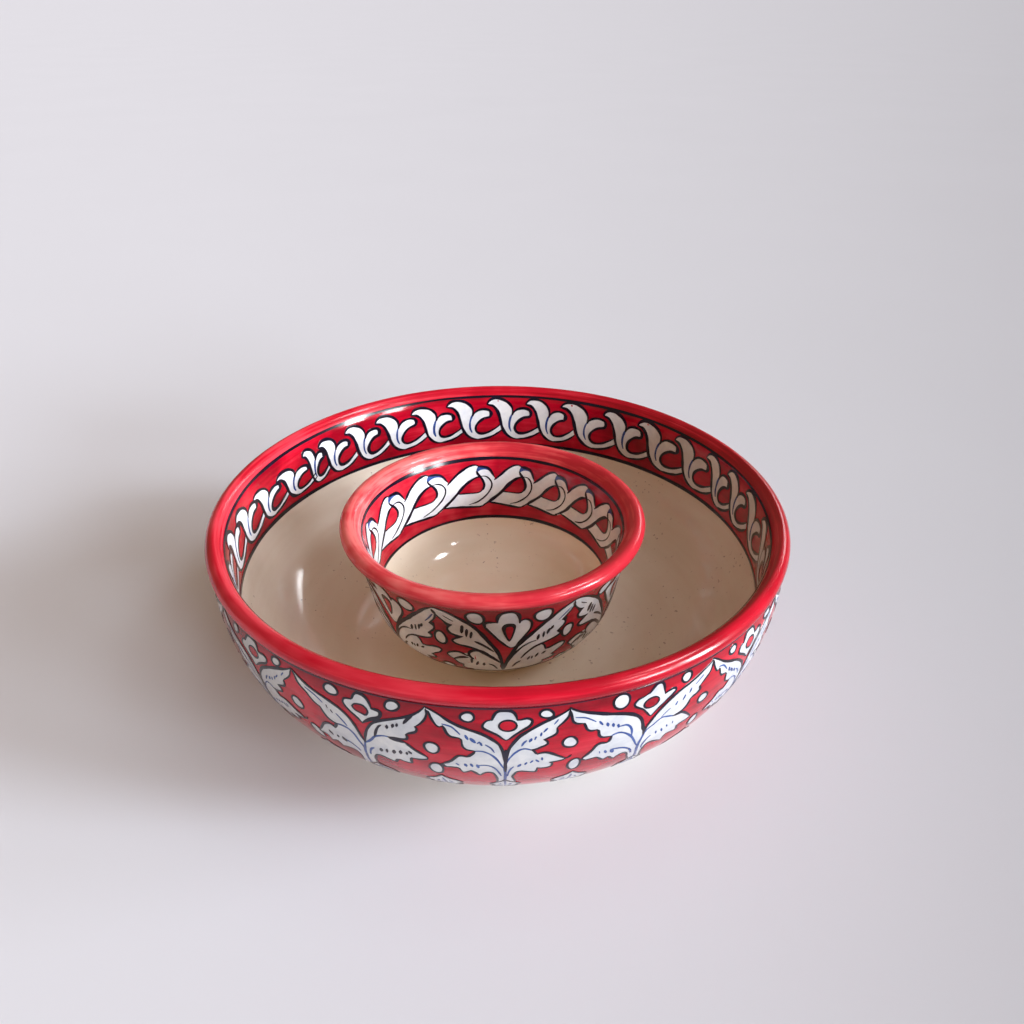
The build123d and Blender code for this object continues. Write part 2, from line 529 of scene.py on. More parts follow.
def bare_clay(name):
    n = Nodes(name)
    grain = n.noise(n.coords, 900.0, 4.0, 0.7)
    stain = n.noise(n.coords, 60.0, 3.0, 0.6)
    tone = n.add(n.mul(grain, 0.5), n.mul(stain, 0.5))
    n.bump(grain, 0.35, 0.0003)
    return n.finish(n.ramp(tone, (0.35, srgb(172, 116, 84)), (0.65, srgb(206, 158, 122))), 0.85)


# each red's last two tuples: painted shade in the crease under the lip, then painted light and shade from
# side to side
CHIP_RED = red_glaze("chip red", 0, (140, 2, 24), (182, 8, 34), (208, 40, 58),
                     (143.5, 91, 98.4, 0.5), (-0.055, 0.0))
CHIP_RIM = red_glaze("chip rim red", 0, (162, 3, 26), (194, 14, 38), (220, 58, 70),
                     (144.5, 103.2, 98.6, 0.5), (0.10, 0.10), 0.6, 0.2, 0.08)
DIP_RED = red_glaze("dip red", DIP_X, (144, 8, 28), (184, 18, 40), (208, 54, 64),
                    (73.5, 83, 91, 0.45), (0.09, 0.0))
DIP_RIM = red_glaze("dip rim red", DIP_X, (198, 40, 52), (222, 68, 72), (240, 116, 110),
                    (76.5, 95.8, 91.4, 0.45), (0.11, 0.11), 0.6, 0.2, 0.08)
CREAM = cream_glaze("chip cream", 0, (246, 234, 213), (235, 218, 193))
DIP_CREAM = cream_glaze("dip cream", DIP_X, (250, 236, 212), (242, 224, 194))
CLAY = bare_clay("bare clay")
WHITE = paint("white paint", (244, 242, 235), (218, 218, 217), 50.0)
# painted shade: a darker copy of the white paint, for the big bowl's outer wall where the light falls
# strongest
SHADED_OUTER_WHITE = paint("outer white paint shaded", (213, 212, 207), (184, 186, 188), 50.0)
NAVY = paint("navy line", (20, 15, 38), (8, 5, 14), 120.0, 0.35)
BLUE = paint("blue line", (60, 90, 148), (32, 54, 110), 160.0)
DARK = paint("dark line", (70, 16, 40), (34, 10, 26), 120.0)


# ---- the two bowls

# from the middle of the underside over the foot ring to the outer wall; the first five runs are bare clay
CHIP_BASE = [line((0, 5.5), (58, 5.5), 12), arc3((61.8, 5.5), (63, 5), (63.4, 4), 5),
             line((63.4, 3), (63.6, 1.2), 3), arc3((63.6, 1.2), (64, 0.3), (64.8, 0), 5),
             line((67, 0), (70.6, 0), 4), arc3((70.8, 0), (71.6, 0.4), (72, 1.2), 5),
             line((72, 2.5), (72, 5.2), 3), arc3((72, 6), (72.5, 6.8), (73.5, 7.1), 4)]
DIP_BASE = [line((0, 22.5), (28, 22.5), 8), arc3((29.8, 22.5), (31, 22), (31.3, 21), 5),
            line((31.4, 19), (31.5, 17.2), 3), arc3((31.5, 17.2), (31.8, 16.4), (32.6, 16), 5),
            line((34, 16), (36.4, 16), 3), arc3((36.8, 16), (37.6, 16.4), (38, 17.2), 5),
            line((38, 19), (38, 22.2), 3), arc3((38, 23), (38.25, 23.75), (39, 24.3), 4)]
RED_ZONE, RIM_ZONE, CREAM_ZONE, CLAY_ZONE = range(4)


def bowl(name, outer, base, skip, foot_line, lip, band, floor, middle, around, materials, body):
    """A bowl's closed body. The outer wall starts skip points up; the flat of the floor has middle points."""
    wall = outer.profile[::-1]
    cream = int(np.sum(outer.s > foot_line))
    zones = [(run, CLAY_ZONE if i < 5 else CREAM_ZONE) for i, run in enumerate(base)]
    zones += [(wall[skip:cream], CREAM_ZONE), (wall[cream - 1 :], RED_ZONE), (arc3(*lip[:3], 14), RIM_ZONE),
              (arc3(*lip[2:], 10), RIM_ZONE), (band, RED_ZONE), (floor, CREAM_ZONE),
              (line(floor[-1], (0, floor[-1][1]), middle), CREAM_ZONE)]
    return turned(name, zones, outer.centre, outer.top, around, materials, body)


chip = bowl("chip_body", CHIP_OUTER, CHIP_BASE, 3, CHIP_FOOT_LINE, CHIP_LIP, CHIP_BAND, CHIP_FLOOR, 34, 288,
            [CHIP_RED, CHIP_RIM, CREAM, CLAY], "chip")
dip = bowl("dip_body", DIP_OUTER, DIP_BASE, 2, DIP_FOOT_LINE, DIP_LIP, DIP_BAND, DIP_FLOOR, 14, 216,
           [DIP_RED, DIP_RIM, DIP_CREAM, CLAY], "dip")
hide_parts("chip_bowl")
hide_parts("dip_bowl")


# ---- painted motifs (mm: x across, s down the wall)
# A stroke is (width, points). A region is a chain of strokes, joined end to end.

def chain(*strokes):
    """A closed outline made of strokes, each turned to start nearest the last one's end."""
    out = None
    for s in strokes:
        c = smooth(s[1] if isinstance(s, tuple) else s)
        if out is None:
            out = c
            continue
        if np.hypot(*(c[-1] - out[-1])) < np.hypot(*(c[0] - out[-1])):
            c = c[::-1]
        out = np.concatenate([out, c])
    return out


def st(width, *values):
    return width, path(*values)


# Three units of the big bowl's outer motif: four lobed leaves on a stem, a flower above with a red eye, and
# dots. A stroke is a row of (width, x, s, x, s...); ul, ll, ur, lr (the leaves' edges: upper and lower, left
# and right) and flower are rows that follow on. low is the part of the stem that the lower left leaf shares;
# feet and joint close the lower leaves' outlines.
PALMETTES = (
    dict(  # the unit in front
        stem=(1.1, 0.6, 60, 0.5, 54, 0.6, 46, 0.5, 38.5, 0.6, 32, 0.7, 27),
        ul_top=(1.15, 0.3, 34, 0.1, 29, -0.3, 26, -0.9, 23, -2, 20, -4, 17.6, -7, 15, -10, 13.2, -14, 11.6,
        -18, 9.8, -22, 7.4, -26, 4.5, -29, 2.7, -30.8, 2.0),
        ul=[(0.85, -30.6, 3.2, -29.8, 4, -29, 6.5, -28, 8.6, -26.8, 10.6, -25.6, 11.3, -24.3, 10.5), (1.0,
        -23.6, 12, -22.8, 14.4, -21.6, 16, -20, 16.5, -18, 16.7), (0.8, -17, 17.8, -16.9, 20, -16.6, 22,
        -15.6, 23.6, -14, 24.3, -12, 24.6)],
        split_l=(0.75, -12, 24.7, -9, 24.7, -6.5, 26, -4.5, 28, -3, 30.5, -1.8, 33.5, -0.8, 36.5, 0.2, 39.5),
        ll=[(1.1, -11.8, 25.2, -13, 27, -14.5, 28.6, -15.3, 29.3), (1.1, -17, 28.7, -18.7, 28.9, -20, 30.2,
        -22, 33.2, -24, 35, -26.5, 36.8), (1.2, -25.8, 38.4, -24.5, 39.2), (0.7, -22, 38.9, -20, 39, -19,
        40, -18.3, 42.2, -17.5, 43.6), (0.7, -15.8, 42.6, -14.2, 41), (1.0, -12.4, 43.2, -11.2, 45.2,
        -10.3, 45.9), (0.9, -9.3, 44.2, -7.8, 42.7, -6, 42.3, -4.9, 43, -3.9, 45, -3.3, 48, -2.9, 51, -3,
        54, -3.6, 57, -5, 59.5)],
        ur_top=(1.2, 1.0, 33, 1.3, 27, 1.9, 24, 3, 21, 4.6, 18, 6.8, 15, 10, 12.4, 14, 9.6, 18, 7.4, 22,
        5.6, 24.5, 4.2, 26.4, 2.9),
        ur=[(0.8, 26.3, 3.4, 26, 5, 25.6, 7, 24, 9.2, 22, 11.2, 21.1, 12.4), (0.9, 21.4, 14.2, 20.9, 15.7,
        19, 17, 17, 17.9, 16, 18.3), (0.9, 17.3, 19.4, 17.8, 20.9, 17, 22, 15, 23.1, 12.8, 24.2, 10.5,
        24.4)],
        split_r=(0.75, 11.2, 24.6, 10.5, 24.2, 8.5, 23.4, 6.5, 24, 4.5, 26, 3, 28.5, 1.8, 31, 1.0, 34),
        lr=[(1.0, 11.5, 24.6, 12.4, 25.6, 13, 27, 13.8, 27.9), (1.1, 15.2, 27.3, 17, 27.2, 19, 28, 21,
        29.6, 23, 31.3, 24.8, 32.8, 26.2, 34), (0.8, 25, 34.8, 22.5, 35.4, 19.3, 35.5), (0.9, 20.5, 36.5,
        20.4, 38.5, 19.8, 39.6, 18, 40.3, 15.5, 40.2, 14.3, 39.5), (0.9, 14.2, 41.5, 13.7, 43.5, 12, 43.3,
        10, 42.6, 8, 42, 6.2, 42, 5.2, 43, 4.5, 45, 3.8, 47.5, 4, 49.5, 4.6, 52, 5, 54, 5.2, 57, 6.4,
        59.5)],
        flower=[(1.1, -4.6, 6.1, -3.9, 4, -2.9, 2.3, -1.5, 1.6, 1, 1.4, 3, 1.8, 4.2, 2.8, 5, 4.6, 5.3,
        6.3), (1.0, 6.5, 6.3, 8.8, 5.7, 10.2, 6, 11.2, 7, 11, 8.5, 10, 10, 7.5, 11.8, 5, 13.8, 3, 15.8,
        1.8, 17, 0.8, 17.4), (0.9, -0.6, 16.3, -2.5, 14.3, -5, 12.6, -7.2, 11.2, -8.3, 10, -8.1, 8.3, -7,
        6.8, -5.8, 6.3, -4.6, 6.1)],
        navy=[(0.8, 26.2, 34, 27.5, 33.2, 28.3, 31.8), (1.2, 0.7, 24, 0.7, 30, 0.6, 36, 0.6, 42)],
        blue=[(0.55, -24.5, 9.5, -21, 10.5, -19, 12.5, -17.5, 14.5), (1.1, -15.3, 15, -14.5, 17.2), (1.2,
        -13.2, 16.8, -11.6, 19), (0.8, -10.6, 19.5, -9.8, 18.6), (1.0, -9.5, 19, -8.9, 20.8), (0.6, -7.4,
        20.3, -5.2, 22.5, -3.9, 25.4), (0.7, -11, 36, -8, 35.6, -5.5, 36.5, -3.5, 39, -2.2, 42.5, -1.2,
        46.5), (0.8, -20, 35.4, -19.2, 36.5), (1.1, -16.4, 35.3, -15.9, 37.2), (1.1, -13.9, 35, -13.3,
        37.3), (1.0, -11.3, 35.5, -10.8, 38), (0.5, 21.5, 7.8, 20, 10), (0.8, 17.2, 12, 15.9, 13.8), (0.8,
        15, 14.2, 14.7, 15.9), (0.9, 12.8, 16.4, 12.4, 17.8), (1.1, 11, 17.4, 10.3, 19), (0.7, 9, 18.2,
        7.9, 19.6, 7.2, 21.4), (0.7, 1.5, 47, 2, 42.5, 3, 39, 4, 37.2), (1.1, 6.9, 35.4, 6, 37.2), (1.0,
        9.5, 34, 8.9, 35.6), (0.9, 12, 32.8, 11.1, 34.4), (0.8, 13.4, 32.4, 14.6, 34.2), (0.7, 15.8, 31,
        16, 33)],
        dots=[(-14.3, 5.0, 2.7, 2.5), (16.9, 4.2, 2.8, 2.1), (27, 22.2, 3.1, 3.5), (30.5, 41, 2.9, 5.2)],
        eye=oval(1.6, 9.2, 3.5, 2.9), tips=(-30.8, 26.4),
        low=slice(0, 4), feet=((-5, 59.5, 0.6, 60.5), (6.4, 59.5, 0.6, 60.5)), joint=(1.0, 34, 1.8, 31)),
    dict(  # the next unit to the right
        stem=(1.1, 0.3, 27, 0.5, 31, -0.1, 36, 0, 40, 0.6, 44, 1.5, 48, 2.2, 51, 2.6, 55, 3, 60),
        ul_top=(1.4, 0.3, 30, 0, 27, -0.6, 25.5, -1.2, 23, -1.8, 20.5, -2.8, 18, -4.5, 15.7, -7, 13.7, -10,
        12.2, -14, 10.8, -18, 9.6, -22, 8.2, -26, 6.8, -30, 5.3, -33, 3.6, -34.2, 2.6),
        ul=[(0.9, -34.4, 3.6, -33.6, 7, -33, 9.8, -31.5, 11.4, -28.3, 12), (1.0, -27.6, 14, -26.8, 16,
        -25.3, 17.2, -22.8, 17.3), (1.0, -21.8, 18.5, -21.4, 21, -20.3, 22.8, -18, 23.6, -15.7, 23.8)],
        split_l=(0.85, -15.7, 23.9, -15, 23.3, -12.5, 22.8, -10, 24, -7.5, 26.3, -5.5, 29, -3.5, 33, -1.7,
        37, 0, 39.8),
        ll=[(1.0, -15.5, 24, -15.7, 25.3, -16.3, 27.3, -17.2, 28), (1.2, -20, 27.3, -21.8, 28.3, -23, 31,
        -24.2, 33, -26.8, 36.6), (0.8, -26.9, 37.7, -25.3, 39), (0.7, -22, 38.8, -20.2, 38.6), (0.9, -19,
        40, -17.5, 42, -16.2, 42.9), (0.7, -14.2, 41.2, -13.7, 41.4), (1.1, -12.3, 43.8, -10.8, 45.2),
        (0.8, -9, 43, -7.3, 42.1, -5.4, 42.8, -4.2, 44.5, -3, 48, -1.8, 51, -0.8, 54, -0.8, 57, -2, 60)],
        ur_top=(1.1, 0.4, 29, 1, 25.5, 1.5, 24, 3.5, 20.5, 6, 17.2, 9, 14.3, 13, 11.5, 17, 9.7, 22, 8, 27,
        6, 32, 4, 34, 2.8),
        ur=[(0.7, 34, 3.6, 33, 8, 30, 11, 28.3, 12.5, 27.2, 13.6), (1.3, 27.9, 15.8, 26.5, 17, 24.5, 17.8,
        22.7, 18.8), (1.1, 22.2, 21, 21.2, 22.8, 19.5, 24.3, 17, 25, 14.5, 25.2)],
        split_r=(0.7, 14.8, 25.2, 12, 23.9, 9, 22.8, 7, 23.3, 4.5, 25.3, 2.2, 27, 0.8, 29.5),
        lr=[(1.0, 14.8, 25.3, 18.5, 25.8, 20, 26, 21.5, 27, 24, 29.5, 26.5, 32.5, 27.2, 34), (0.7, 25, 35,
        21.5, 35.5, 20, 36.3), (1.0, 20.8, 38, 21.2, 40.3), (0.7, 19.5, 40, 17, 39.5, 15.2, 39.4), (0.9,
        14.6, 41, 14.5, 43, 13.9, 44.7), (0.9, 12, 43.3, 9, 41.5, 6, 40.8, 4.8, 42, 4.3, 45, 4.5, 49, 5.6,
        53, 6.6, 57, 8, 60)],
        flower=[(1.0, -1, 5, 0, 4.7, 1, 3.7, 2.5, 2, 4.3, 1.1, 6.2, 1.7, 7, 3.5, 7.3, 5.5, 7.7, 8), (0.9,
        9.5, 7.4, 11.5, 6.9, 13, 7.3, 13.3, 8.6, 11.5, 10.3, 9, 12, 6, 14.3, 3.5, 16.6, 1.8, 18.3), (0.8,
        0.8, 17.3, -0.5, 15.3, -2.5, 12.6, -5, 10.7, -6.6, 9.2, -6.6, 7.7, -5, 6.2, -2.5, 5.6, -1, 5)],
        navy=[],
        blue=[(0.5, -32, 8, -28, 9, -25, 11, -23.5, 12.3), (0.9, -21.8, 12.8, -20.4, 15), (1.1, -18.4,
        14.8, -17.9, 16.5), (1.1, -15.8, 16, -15.4, 17.7), (1.2, -13.4, 17.5, -13, 19), (0.8, -12.5, 18.7,
        -9.5, 19, -7.5, 21, -6.3, 24, -5.7, 27.5), (0.9, -14, 34.8, -11, 35.3, -8, 36.5, -5, 39, -3.3,
        41.5, -2, 45), (1.3, -17, 34.5, -16.2, 36.5), (1.5, -14, 35, -12.8, 37.8), (0.6, -19.6, 34, -19.2,
        35.5), (0.9, 22.3, 12.2, 21.6, 14.2), (0.9, 19.2, 14.6, 18.4, 16.8), (0.8, 15.2, 16.3, 14.6, 18),
        (0.4, 11.8, 18.6, 9.5, 20.5, 8, 22.2), (0.5, 28.5, 8, 26.5, 9.5, 24.5, 11), (0.7, 7.4, 32, 7.9,
        34), (0.9, 10.3, 32, 11.2, 34.4), (0.7, 12.7, 30.5, 13.4, 32.2), (0.5, 16, 30, 16.2, 31.5), (0.7,
        5, 34, 3.6, 36, 2.7, 39, 2.6, 42, 3.2, 44)],
        dots=[(-12.7, 4.7, 3.8, 3.6), (18.8, 4.1, 2.8, 2.5), (31.5, 23.3, 2.9, 3.1), (32, 40.5, 2.7, 4.6)],
        eye=oval(1.3, 10.2, 3.6, 2.7, -0.1), tips=(-34.2, 34),
        low=slice(3, None), feet=((-2, 60, 3, 60.5), (8, 60, 3, 60.5))),
    dict(  # the next unit to the left
        stem=(1.0, 0.4, 31, 0, 33, -0.6, 35.5, -1.3, 38, -1.9, 41, -2.3, 44, -2.8, 47, -3.4, 50.5, -4, 54,
        -4.2, 57, -4.2, 60),
        ul_top=(1.1, 0.3, 31.5, 0, 30.5, -0.8, 28, -1.5, 25, -2.3, 22, -3.8, 18.8, -5.8, 16, -8.5, 13.8,
        -12, 12, -16, 10.6, -20, 9.4, -24, 8, -28, 6, -31, 4.3, -33, 3),
        ul=[(0.8, -32.8, 4, -31.5, 5.5, -30.5, 8, -29, 9.8, -27, 11.2, -25.3, 12.6, -24, 14.3, -22.5, 15.7,
        -20.5, 16.9, -19.3, 17.2), (0.9, -18.7, 18.7, -18, 20.5, -16.8, 22.6, -15, 24, -13, 24.7, -11,
        24.9)],
        split_l=(0.9, -12.2, 25, -10.5, 24.6, -8.5, 24.7, -6.5, 25.3, -5, 26.8, -3.8, 29, -3, 32, -2, 35,
        -1.4, 37.8),
        ll=[(1.2, -12.2, 25, -13, 26.5, -14.2, 28.8), (1.0, -15.2, 27.9, -16.8, 27.3, -18.5, 27.9, -20.5,
        29.5, -22, 32, -23.5, 34.5, -25, 36.8, -26.5, 39.2), (0.7, -24.5, 38.9, -22.5, 39, -21.6, 40,
        -21.2, 42, -20.6, 43.9), (0.8, -18.8, 42.6, -16.8, 41.3), (0.8, -16.1, 43.5, -15.5, 46), (0.8,
        -13.5, 44.6, -11, 43.8, -8.8, 44, -7.5, 45.2, -6.8, 47.5, -6.9, 50, -7.6, 53, -8.2, 56, -9.5, 60)],
        ur_top=(1.1, 0.5, 32, 1, 29, 1.7, 26, 2.8, 22.5, 4.3, 19.3, 6.3, 16.5, 9, 14.3, 12, 12.8, 16, 11,
        20, 9.3, 24, 7.2, 27, 5, 29, 3, 30, 1.6),
        ur=[(0.8, 30.2, 3, 30.6, 5, 30, 7.5, 28.6, 9.8, 26.8, 11.8, 25.3, 13), (1.0, 26, 14.2, 25.6, 15.8,
        24, 16.9, 22.2, 17.8, 21, 18.7), (1.1, 21.4, 20.3, 20.9, 21.8, 19, 22.3, 16, 22.5, 13, 22.8)],
        split_r=(0.9, 0.5, 32, 2.5, 30, 4.5, 27.5, 6.2, 25, 8.5, 23.6, 11, 22.8, 12.8, 22.8),
        lr=[(1.3, 12.8, 22.8, 14.3, 23.6, 16, 24, 18.5, 24.1, 20, 24.4), (1.1, 21.5, 26, 23.5, 28.3, 25.5,
        30, 27.5, 31.6, 28.9, 33.2), (0.8, 28.5, 34.6, 26.5, 35.4, 24, 35.8, 21.5, 35.6), (1.2, 21, 37,
        20.8, 39, 20.9, 40.8), (0.7, 19.5, 41, 17, 40.6, 15.3, 39.8, 14.2, 40), (1.2, 13.4, 41.5, 12.8,
        43.2), (0.9, 11, 42.8, 9, 41.8, 7, 40.8, 5, 40.5, 3.5, 41.5, 2.5, 43.5, 1.7, 46, 1.2, 49, 0.8, 52,
        0.4, 55, 0.4, 60)],
        flower=[(1.1, -2.5, 6, -1.8, 5.2, -1.2, 3.6, -0.3, 2.3, 1, 1.7, 3, 2, 4.8, 3.3, 6, 5.3, 6.8, 8),
        (1.5, 8.5, 8, 10.4, 8.6, 10.6, 10.4, 9.4, 12.2, 7.3, 13.4, 5.2, 14.7, 3.4, 16.2, 1.7, 17.9), (0.9,
        0.3, 16.2, -1.5, 14.5, -3.8, 12.6, -5.6, 10.5, -6.4, 8.6, -5.8, 6.9, -4.3, 6.2, -2.5, 6)],
        navy=[(1.0, 10.2, 16.3, 9, 17.5, 7.8, 20, 6.8, 23, 6.2, 25), (1.2, 13, 15.5, 12.8, 17.5), (1.2,
        15.9, 14, 15.3, 16), (1.1, 17.7, 13.3, 17.2, 15), (1.1, 24.5, 7.5, 22.5, 9.5, 20.5, 12.3), (1.4,
        7.6, 33.6, 7.1, 36), (1.1, 10.4, 32.9, 10, 35.6), (1.5, 13.9, 32.3, 13.3, 35), (1.4, 17, 31.4,
        16.6, 33.9), (1.1, 19.8, 31.6, 19.6, 33.5), (1.2, 20.9, 30.5, 21.8, 32.2), (1.4, -18.8, 33.8,
        -17.8, 36.5), (1.5, -11.8, 35, -10.8, 38), (1.1, -14.6, 35, -14.9, 37), (0.8, -15.6, 14.7, -15.2,
        16.2), (0.9, -13.6, 16.8, -13, 18)],
        blue=[(0.6, -26, 9.5, -22, 11, -19, 12.8, -17.5, 14), (0.7, -11, 17.8, -9.5, 19.5, -7.8, 21.7,
        -6.8, 23.5), (0.9, -11, 35.8, -8, 37.5, -6, 40, -5, 42.5), (0.9, 3.8, 34.8, 2.5, 36, 1.5, 38, 0.7,
        40.5, 0.3, 42.5)],
        dots=[(-12, 4.5, 3.5, 2.6), (16, 4, 3.3, 2.5), (31.5, 25, 3.3, 3.6), (31.8, 42, 3.2, 4.9)],
        eye=chain(path(-2.1, 9.5, -1, 8, 1, 7.4, 3, 7.5, 4.6, 8.8, 5, 10.5, 4.3, 12, 3.6, 12.7), path(3.6,
        12.7, 1.5, 12, -0.8, 11.2, -2.1, 9.5)), tips=(-33, 30.4),
        low=slice(3, None), feet=((-9.5, 60, -4.2, 60.5), (0.4, 60, -4.2, 60.5))),
)


def edge(rows):
    """Strokes that follow one another: each row but the first starts where the last one ended."""
    strokes = [st(*rows[0])]
    for width, *values in rows[1:]:
        strokes.append((width, np.concatenate([strokes[-1][1][-1:], path(*values)])))
    return strokes


def palmette(stem, ul_top, ul, split_l, ll, ur_top, ur, split_r, lr, flower, navy, blue, dots, eye, tips,
             low, feet, joint=None):
    """A unit of the big bowl's outer motif as closed areas and strokes."""
    stem, ul_top, split_l, ur_top, split_r = (st(*row) for row in (stem, ul_top, split_l, ur_top, split_r))
    ul, ll, ur, lr, flower = (edge(rows) for rows in (ul, ll, ur, lr, flower))
    left, right = (path(*foot) for foot in feet)
    joint = [path(*joint)] if joint else []
    white = [chain(ul_top, *ul, split_l), chain(*ll, left, stem[1][low], split_l),
             chain(ur_top, *ur, split_r), chain(*lr, right, stem, *joint, split_r), chain(*flower)]
    navy = [ul_top, ur_top, *ul, *ll, *ur, *lr, *flower, *(st(*row) for row in navy)]
    blue = [stem, split_l, split_r, *(st(*row) for row in blue)]
    return dict(white=white, dots=dots, navy=navy, blue=blue, red=[eye], tips=tips)


def low_leaf(x, s, half, tall):
    """A lobed leaf of the lowest tier, hanging point up: outlines and strokes."""
    def at(*v):
        p = path(*v)
        return np.stack([x + p[:, 0] * half, s + p[:, 1] * tall], 1)
    sides = []
    for m in (-1, 1):
        sides += [(1.0, at(0, 0, 0.18 * m, 0.08, 0.42 * m, 0.17, 0.80 * m, 0.26, 0.98 * m, 0.36,
                           0.90 * m, 0.45, 0.70 * m, 0.50)),
                  (0.9, at(0.70 * m, 0.50, 0.86 * m, 0.57, 0.84 * m, 0.68, 0.62 * m, 0.74, 0.46 * m, 0.76)),
                  (0.9, at(0.46 * m, 0.76, 0.50 * m, 0.84, 0.34 * m, 0.92, 0.12 * m, 0.96, 0, 1.0))]
    white = chain(sides[0], sides[1], sides[2], sides[5], sides[4], sides[3])
    blue = [(0.8, at(0, 0.16, 0.02, 0.5, 0, 0.86))]
    for m in (-1, 1):
        blue += [(0.9, at(0.30 * m, 0.34, 0.42 * m, 0.44)), (0.9, at(0.22 * m, 0.54, 0.34 * m, 0.64))]
    return white, sides, blue


def bend(points, dx, ds, phase, foot):
    """The same outline as another stroke of the hand would leave it."""
    p = np.asarray(points, float).copy()
    x, s = p[:, 0].copy(), p[:, 1].copy()
    p[:, 0] += dx * (np.sin(s / 8.5 + phase) - math.sin(phase)) + dx * 0.6 * np.sin(x / 6.0 + 2 * phase)
    p[:, 1] += ds * np.sin(x / 7.5 + 1.7 * phase) * np.clip(s / 10, 0, 1) * np.clip((foot - s) / 20, 0, 1)
    return p


def stretch(points, tips, left, right):
    """Moves the tips of a motif to left and right, and what is between them in proportion."""
    p = np.asarray(points, float).copy()
    for tip, goal in ((tips[0], left), (tips[1], right)):
        on = p[:, 0] * tip > 0
        u = np.clip(p[on, 0] / tip, 0, 1)
        p[on, 0] *= 1 + (goal / tip - 1) * u
    return p


def lay(name, wall, body, units, red, white, red_lift=RED_LIFT, grid=3.0):
    """The films of one painted band. Each unit is (x offset, dict of each colour's closed outlines)."""
    red_slot = "red_glaze" if body == "chip" else "dip_red_glaze"
    colours = (("white", white, WHITE_LIFT, grid, "white_paint"), ("red", red, red_lift, 2.0, red_slot),
               ("blue", BLUE, BLUE_LIFT, 0, "navy_line"), ("navy", NAVY, NAVY_LIFT, 0, "navy_line"))
    for key, material, height, spacing, slot in colours:
        done = [(x, u[key]) for x, u in units]
        if any(polygons for _, polygons in done):
            obj = film(name + "_" + key, wall, done, body, material, height, spacing)


def painted(motif, hand, rng, exact, weight=1.0, dot_line=0.85):
    """A motif as closed areas of each colour."""
    out = dict(white=[hand(w) for w in motif["white"]], red=[], blue=[],
               navy=[hand(d) for d in motif.get("dark", [])])
    for width, points in motif["navy"]:
        out["navy"] += ribbon(hand(points), weight * width * (1 if exact else rng.uniform(0.85, 1.15)), rng)
    for x, s, rx, rs in motif.get("dots", ()):
        jx, js = (0, 0) if exact else rng.uniform(-0.6, 0.6, 2)
        dot = hand(oval(x + jx, s + js, rx, rs, rng.uniform(-0.3, 0.3), 0.05, rng.uniform(0, 6)))
        out["white"].append(dot)
        out["navy"] += ribbon(dot, dot_line, rng)
    for width, points in motif.get("blue", ()):
        wide = 1.35 * width * (1 if exact else rng.uniform(0.85, 1.15))
        out["blue"] += ribbon(hand(points), wide, rng, 0.7, 0.6)
    for eye in motif.get("red", ()):
        eye = hand(eye)
        out["red"].append(eye)
        if not motif.get("dark"):
            out["navy"] += ribbon(eye, 0.85, rng)
    return out


def chip_outside():
    rng = np.random.default_rng(7)
    count, ref = 15, CHIP_OUTER.ref
    # the units were painted a little closer together on one side
    centres = [math.radians(24 * k - 1.19 * math.sin(2 * math.pi * k / count)) * ref
               for k in range(count + 1)]
    pitch = np.diff(centres)
    # where the leaf tips of neighbouring units meet, from the unit on the left of each
    meet = {0: 26.45, 1: 34.0, 13: 28.0, 14: 30.0}
    right = [meet.get(k, pitch[k] / 2 + rng.uniform(-1.5, 1.5)) for k in range(count)]
    units = []
    for k in range(count):
        exact = k in (0, 1, count - 1)
        motif = palmette(**PALMETTES[{0: 0, 1: 1, count - 1: 2}.get(k, int(rng.integers(3)))])
        # two small leaves below, one under the last dot and one under the stem
        beside = (motif["dots"][3][0] + 1.0, 50.0, 8.8, 27)
        under = (0.6 + (1.6 if k == 1 else 0), 52.5, 7.0, 22)
        for x, s, half, tall in (beside, under):
            white, lines, marks = low_leaf(x, s, half, tall)
            motif["white"].append(white)
            motif["navy"] += lines
            motif["blue"] += marks
        left = right[k - 1] - pitch[k - 1]
        amount = 0.0 if exact else rng.uniform(0.35, 0.75)
        phase = rng.uniform(0, 6.28)

        def hand(p):
            return bend(stretch(p, motif["tips"], left, right[k]), amount, amount, phase, 62)

        units.append((centres[k], painted(motif, hand, rng, exact, 1.22, 1.0)))
    # the outer whites use the darker copy of the white paint, as painted shade
    lay("chip_outside", CHIP_OUTER, "chip", units, CHIP_RED, SHADED_OUTER_WHITE)
    ring("chip_outside_foot_line", CHIP_OUTER, CHIP_FOOT_LINE, 1.4, "chip", DARK, rng)
    # a thin dark ring in the crease under the lip: partly a painted line, partly painted shade
    ring("chip_outside_lip_line_and_shade", CHIP_OUTER, 0.5, 0.7, "chip", DARK, rng, 0.2, 2.2)


